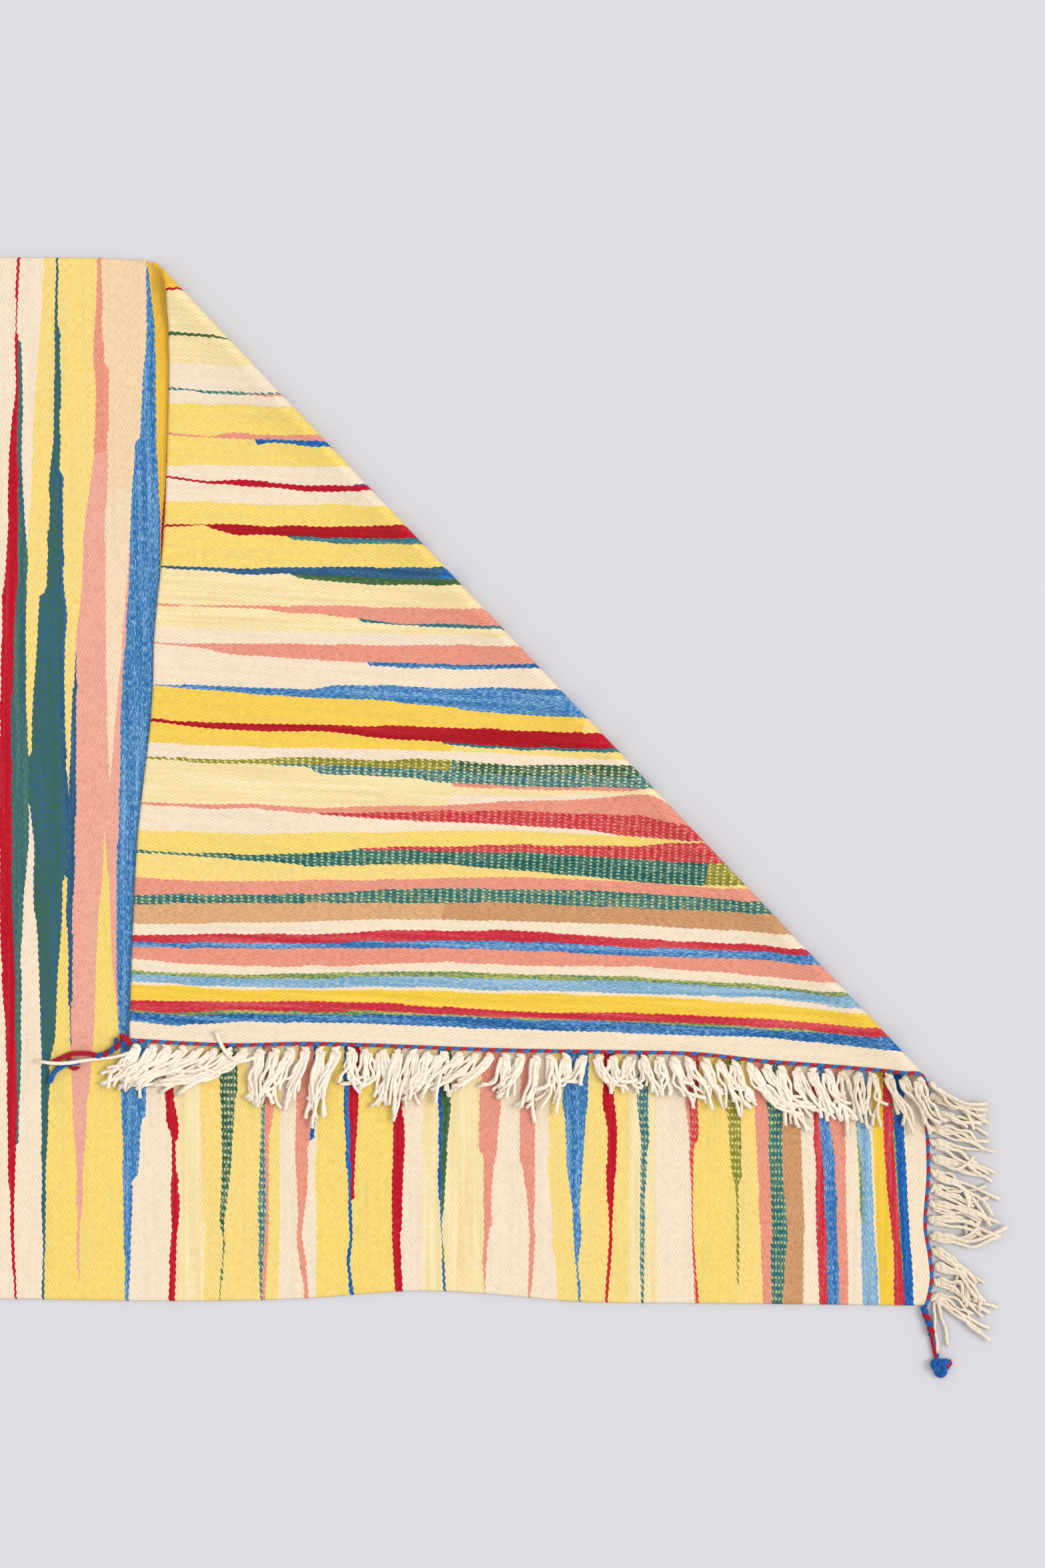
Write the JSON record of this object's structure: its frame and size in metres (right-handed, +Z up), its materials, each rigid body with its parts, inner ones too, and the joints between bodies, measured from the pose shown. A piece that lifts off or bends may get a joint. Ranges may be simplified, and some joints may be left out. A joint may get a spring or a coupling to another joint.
{
  "type": "persian kilim",
  "caption": "Flat-woven wool kilim with cross stripes of uneven width, one corner turned over to show its back, twined end cords and knotted fringe",
  "frame": {"origin": "on the floor under the cloth, at the middle of the rug when it is laid open", "axes": "X along the rug's length, towards the end whose corner is turned over; Y across its width, towards the turned corner; Z up, out of the floor"},
  "size_m": [1.3121, 0.9087, 0.013],
  "materials": {
    "weave": "weft-faced plain weave of hand-spun wool, cream ground with yellow, red, salmon, blue and green stripes",
    "cord": "two-colour twined wool cord, red and blue",
    "fringe": "undyed two-ply warp yarn, knotted"
  },
  "bodies": {
    "root": {"kilim_cloth": "weave", "end_cord_right": "cord", "end_cord_left": "cord", "fringe_right_floor": "fringe", "fringe_right_fold": "fringe", "fringe_right_flap": "fringe", "fringe_left": "fringe", "tail_right_front": "cord", "tail_flap_blue": "cord", "tail_flap_red": "cord", "tail_left_front": "cord", "tail_left_back": "cord"}
  },
  "joints": []
}
